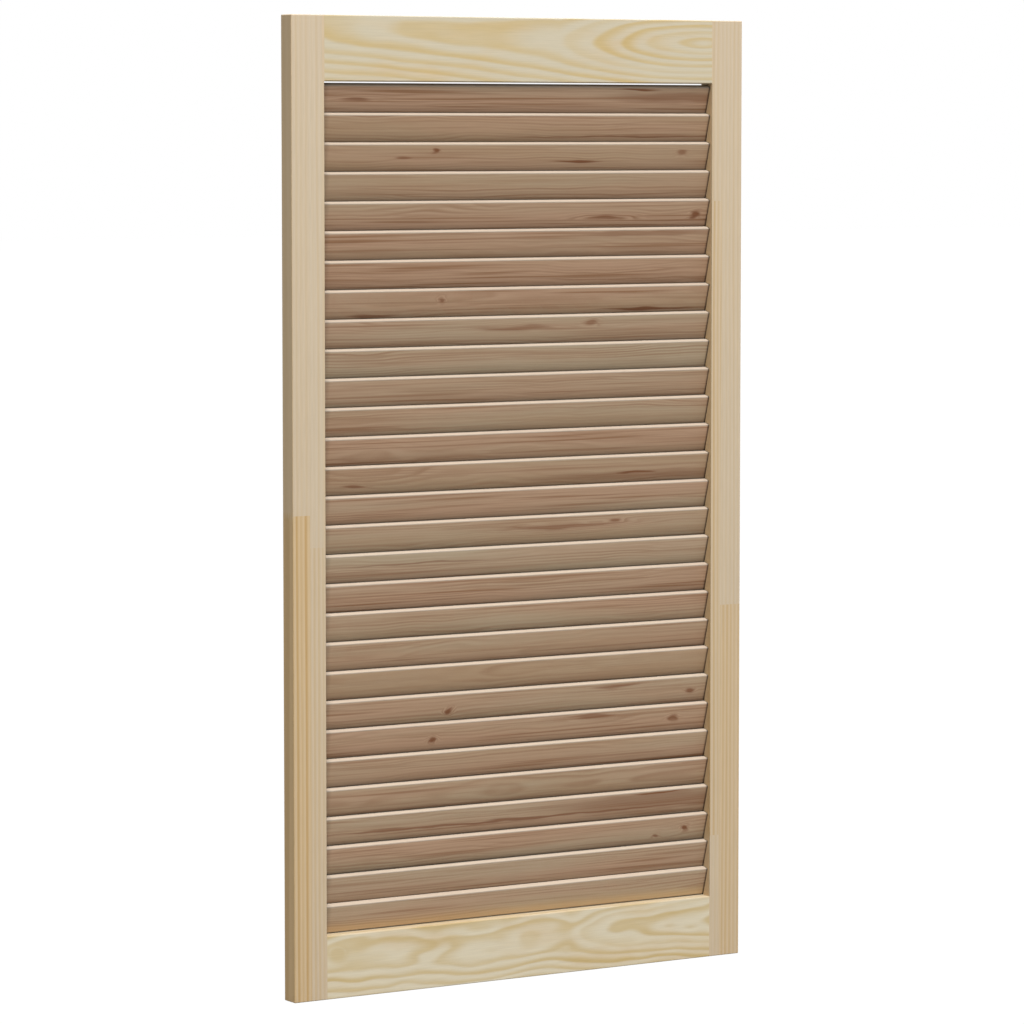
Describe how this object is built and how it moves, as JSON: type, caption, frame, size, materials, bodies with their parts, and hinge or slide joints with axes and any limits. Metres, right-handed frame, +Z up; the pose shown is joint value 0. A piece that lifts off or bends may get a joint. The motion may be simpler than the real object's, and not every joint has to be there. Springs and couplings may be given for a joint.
{
  "type": "louvred cabinet door",
  "caption": "Solid pine cabinet door: two stiles and two rails around a column of fixed slanting slats.",
  "frame": {"origin": "middle of the outer edge face of the left stile, which is the hinge stile", "axes": "+X across the door from the hinge edge to the free edge, -Y out of the front, +Z up"},
  "size_m": [0.544, 0.021, 0.993],
  "materials": {
    "pine_frame": "bare, planed",
    "pine_slat": "bare, planed",
    "beech_dowel": "bare, turned"
  },
  "bodies": {
    "root": {"left_stile": "pine_frame", "right_stile": "pine_frame", "top_rail": "pine_frame", "bottom_rail": "pine_frame", "slat_01": "pine_slat", "slat_02": "pine_slat", "slat_03": "pine_slat", "slat_04": "pine_slat", "slat_05": "pine_slat", "slat_06": "pine_slat", "slat_07": "pine_slat", "slat_08": "pine_slat", "slat_09": "pine_slat", "slat_10": "pine_slat", "slat_11": "pine_slat", "slat_12": "pine_slat", "slat_13": "pine_slat", "slat_14": "pine_slat", "slat_15": "pine_slat", "slat_16": "pine_slat", "slat_17": "pine_slat", "slat_18": "pine_slat", "slat_19": "pine_slat", "slat_20": "pine_slat", "slat_21": "pine_slat", "slat_22": "pine_slat", "slat_23": "pine_slat", "slat_24": "pine_slat", "slat_25": "pine_slat", "slat_26": "pine_slat", "slat_27": "pine_slat", "slat_28": "pine_slat", "slat_29": "pine_slat", "left_dowel_top_upper": "beech_dowel", "left_dowel_top_lower": "beech_dowel", "left_dowel_bottom_upper": "beech_dowel", "left_dowel_bottom_lower": "beech_dowel", "right_dowel_top_upper": "beech_dowel", "right_dowel_top_lower": "beech_dowel", "right_dowel_bottom_upper": "beech_dowel", "right_dowel_bottom_lower": "beech_dowel"}
  },
  "joints": []
}
